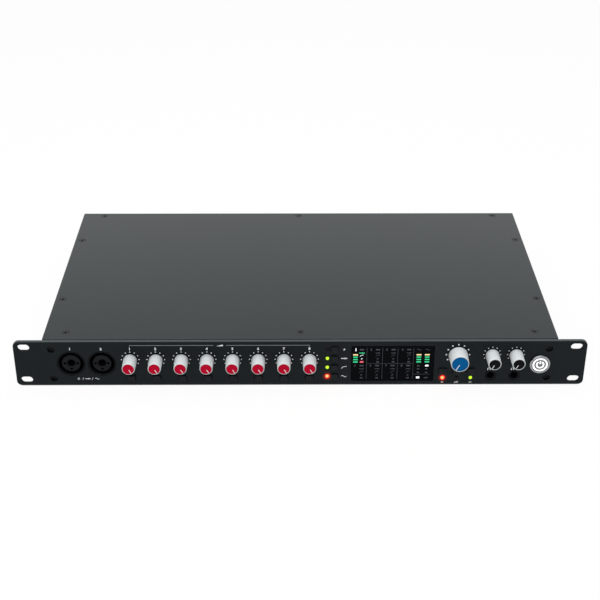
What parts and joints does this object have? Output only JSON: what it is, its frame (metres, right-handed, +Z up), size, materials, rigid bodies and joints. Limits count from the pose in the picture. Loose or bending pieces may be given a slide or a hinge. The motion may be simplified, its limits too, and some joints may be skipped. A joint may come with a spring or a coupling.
{
  "type": "rack audio interface",
  "caption": "Slim 19-inch rack audio interface: flat metal case, slotted front panel, input sockets, turning gain and level knobs, push buttons, meter display and power button.",
  "frame": {"origin": "middle of the footprint, on the surface the unit stands on", "axes": "+X to the right seen from the front, +Y from the front panel to the back panel, +Z up"},
  "size_m": [0.4826, 0.2708, 0.044],
  "materials": {
    "black_panel_paint": "satin black powder coat",
    "black_case_paint": "fine-textured black powder coat",
    "zinc_plated_steel": "bright zinc plate",
    "board_laminate": "green solder resist",
    "supply_housing": "matt grey moulded housing",
    "pale_knob_plastic": "fine-textured pale grey moulding",
    "red_cap_plastic": "satin red moulding",
    "blue_cap_plastic": "satin blue moulding",
    "black_plastic": "satin black moulding",
    "clear_light_plastic": "clear polished moulding",
    "smoked_display_lens": "polished smoked acrylic",
    "bright_bezel_metal": "polished plated metal",
    "white_button_plastic": "smooth translucent white moulding"
  },
  "bodies": {
    "chassis": {"back_inputs": "black_plastic", "back_outputs": "black_plastic", "back_panel": "black_case_paint", "chassis_tray": "black_case_paint", "control_board": "board_laminate", "display_module": "black_plastic", "display_window": "smoked_display_lens", "front_panel": "black_panel_paint", "front_rail": "zinc_plated_steel", "input_socket_1": "black_plastic", "input_socket_2": "black_plastic", "main_board": "board_laminate", "mains_inlet": "black_plastic", "mode_lights": "clear_light_plastic", "monitor_lights": "clear_light_plastic", "optical_ports": "black_plastic", "phones_socket_1": "black_plastic", "phones_socket_2": "black_plastic", "power_bezel": "bright_bezel_metal", "power_supply": "supply_housing", "top_cover": "black_case_paint", "usb_port": "zinc_plated_steel"},
    "gain_knob_1": {"gain_knob_1": "pale_knob_plastic", "gain_cap_1": "red_cap_plastic"},
    "gain_knob_2": {"gain_knob_2": "pale_knob_plastic", "gain_cap_2": "red_cap_plastic"},
    "gain_knob_3": {"gain_knob_3": "pale_knob_plastic", "gain_cap_3": "red_cap_plastic"},
    "gain_knob_4": {"gain_knob_4": "pale_knob_plastic", "gain_cap_4": "red_cap_plastic"},
    "gain_knob_5": {"gain_knob_5": "pale_knob_plastic", "gain_cap_5": "red_cap_plastic"},
    "gain_knob_6": {"gain_knob_6": "pale_knob_plastic", "gain_cap_6": "red_cap_plastic"},
    "gain_knob_7": {"gain_knob_7": "pale_knob_plastic", "gain_cap_7": "red_cap_plastic"},
    "gain_knob_8": {"gain_knob_8": "pale_knob_plastic", "gain_cap_8": "red_cap_plastic"},
    "monitor_knob": {"monitor_knob": "pale_knob_plastic", "monitor_cap": "blue_cap_plastic"},
    "phones_knob_1": {"phones_knob_1": "pale_knob_plastic", "phones_cap_1": "black_plastic"},
    "phones_knob_2": {"phones_knob_2": "pale_knob_plastic", "phones_cap_2": "black_plastic"},
    "select_button_1": {"select_button_1": "black_plastic"},
    "select_button_2": {"select_button_2": "black_plastic"},
    "select_button_3": {"select_button_3": "black_plastic"},
    "select_button_4": {"select_button_4": "black_plastic"},
    "select_button_5": {"select_button_5": "black_plastic"},
    "select_button_6": {"select_button_6": "black_plastic"},
    "select_button_7": {"select_button_7": "black_plastic"},
    "select_button_8": {"select_button_8": "black_plastic"},
    "mode_button_1": {"mode_button_1": "black_plastic"},
    "mode_button_2": {"mode_button_2": "black_plastic"},
    "mode_button_3": {"mode_button_3": "black_plastic"},
    "mode_button_4": {"mode_button_4": "black_plastic"},
    "monitor_button_1": {"monitor_button_1": "black_plastic"},
    "monitor_button_2": {"monitor_button_2": "black_plastic"},
    "monitor_button_3": {"monitor_button_3": "black_plastic"},
    "power_button": {"power_button": "white_button_plastic"}
  },
  "joints": [
    {"name": "gain_1_turn", "type": "hinge", "parent": "chassis", "child": "gain_knob_1", "pos_m": [-0.14355, -0.1192, 0.02635], "axis": [0, 1, 0], "range_deg": [-300, 0]},
    {"name": "gain_2_turn", "type": "hinge", "parent": "chassis", "child": "gain_knob_2", "pos_m": [-0.12197, -0.1192, 0.02635], "axis": [0, 1, 0], "range_deg": [-300, 0]},
    {"name": "gain_3_turn", "type": "hinge", "parent": "chassis", "child": "gain_knob_3", "pos_m": [-0.10038, -0.1192, 0.02635], "axis": [0, 1, 0], "range_deg": [-300, 0]},
    {"name": "gain_4_turn", "type": "hinge", "parent": "chassis", "child": "gain_knob_4", "pos_m": [-0.0788, -0.1192, 0.02635], "axis": [0, 1, 0], "range_deg": [-300, 0]},
    {"name": "gain_5_turn", "type": "hinge", "parent": "chassis", "child": "gain_knob_5", "pos_m": [-0.05721, -0.1192, 0.02635], "axis": [0, 1, 0], "range_deg": [-300, 0]},
    {"name": "gain_6_turn", "type": "hinge", "parent": "chassis", "child": "gain_knob_6", "pos_m": [-0.03562, -0.1192, 0.02635], "axis": [0, 1, 0], "range_deg": [-300, 0]},
    {"name": "gain_7_turn", "type": "hinge", "parent": "chassis", "child": "gain_knob_7", "pos_m": [-0.01404, -0.1192, 0.02635], "axis": [0, 1, 0], "range_deg": [-300, 0]},
    {"name": "gain_8_turn", "type": "hinge", "parent": "chassis", "child": "gain_knob_8", "pos_m": [0.00754, -0.1192, 0.02635], "axis": [0, 1, 0], "range_deg": [-300, 0]},
    {"name": "monitor_turn", "type": "hinge", "parent": "chassis", "child": "monitor_knob", "pos_m": [0.1328, -0.1192, 0.0306], "axis": [0, 1, 0], "range_deg": [0, 300]},
    {"name": "phones_1_turn", "type": "hinge", "parent": "chassis", "child": "phones_knob_1", "pos_m": [0.1617, -0.1192, 0.0306], "axis": [0, 1, 0], "range_deg": [0, 300]},
    {"name": "phones_2_turn", "type": "hinge", "parent": "chassis", "child": "phones_knob_2", "pos_m": [0.18175, -0.1192, 0.0306], "axis": [0, 1, 0], "range_deg": [0, 300]},
    {"name": "select_1_press", "type": "slide", "parent": "chassis", "child": "select_button_1", "axis": [0, 1, 0], "range_m": [0, 0.0008], "stiffness_N_per_m": 400},
    {"name": "select_2_press", "type": "slide", "parent": "chassis", "child": "select_button_2", "axis": [0, 1, 0], "range_m": [0, 0.0008], "stiffness_N_per_m": 400},
    {"name": "select_3_press", "type": "slide", "parent": "chassis", "child": "select_button_3", "axis": [0, 1, 0], "range_m": [0, 0.0008], "stiffness_N_per_m": 400},
    {"name": "select_4_press", "type": "slide", "parent": "chassis", "child": "select_button_4", "axis": [0, 1, 0], "range_m": [0, 0.0008], "stiffness_N_per_m": 400},
    {"name": "select_5_press", "type": "slide", "parent": "chassis", "child": "select_button_5", "axis": [0, 1, 0], "range_m": [0, 0.0008], "stiffness_N_per_m": 400},
    {"name": "select_6_press", "type": "slide", "parent": "chassis", "child": "select_button_6", "axis": [0, 1, 0], "range_m": [0, 0.0008], "stiffness_N_per_m": 400},
    {"name": "select_7_press", "type": "slide", "parent": "chassis", "child": "select_button_7", "axis": [0, 1, 0], "range_m": [0, 0.0008], "stiffness_N_per_m": 400},
    {"name": "select_8_press", "type": "slide", "parent": "chassis", "child": "select_button_8", "axis": [0, 1, 0], "range_m": [0, 0.0008], "stiffness_N_per_m": 400},
    {"name": "mode_1_press", "type": "slide", "parent": "chassis", "child": "mode_button_1", "axis": [0, 1, 0], "range_m": [0, 0.0008], "stiffness_N_per_m": 400},
    {"name": "mode_2_press", "type": "slide", "parent": "chassis", "child": "mode_button_2", "axis": [0, 1, 0], "range_m": [0, 0.0008], "stiffness_N_per_m": 400},
    {"name": "mode_3_press", "type": "slide", "parent": "chassis", "child": "mode_button_3", "axis": [0, 1, 0], "range_m": [0, 0.0008], "stiffness_N_per_m": 400},
    {"name": "mode_4_press", "type": "slide", "parent": "chassis", "child": "mode_button_4", "axis": [0, 1, 0], "range_m": [0, 0.0008], "stiffness_N_per_m": 400},
    {"name": "monitor_1_press", "type": "slide", "parent": "chassis", "child": "monitor_button_1", "axis": [0, 1, 0], "range_m": [0, 0.0008], "stiffness_N_per_m": 400},
    {"name": "monitor_2_press", "type": "slide", "parent": "chassis", "child": "monitor_button_2", "axis": [0, 1, 0], "range_m": [0, 0.0008], "stiffness_N_per_m": 400},
    {"name": "monitor_3_press", "type": "slide", "parent": "chassis", "child": "monitor_button_3", "axis": [0, 1, 0], "range_m": [0, 0.0008], "stiffness_N_per_m": 400},
    {"name": "power_press", "type": "slide", "parent": "chassis", "child": "power_button", "axis": [0, 1, 0], "range_m": [0, 0.0015], "stiffness_N_per_m": 800}
  ]
}
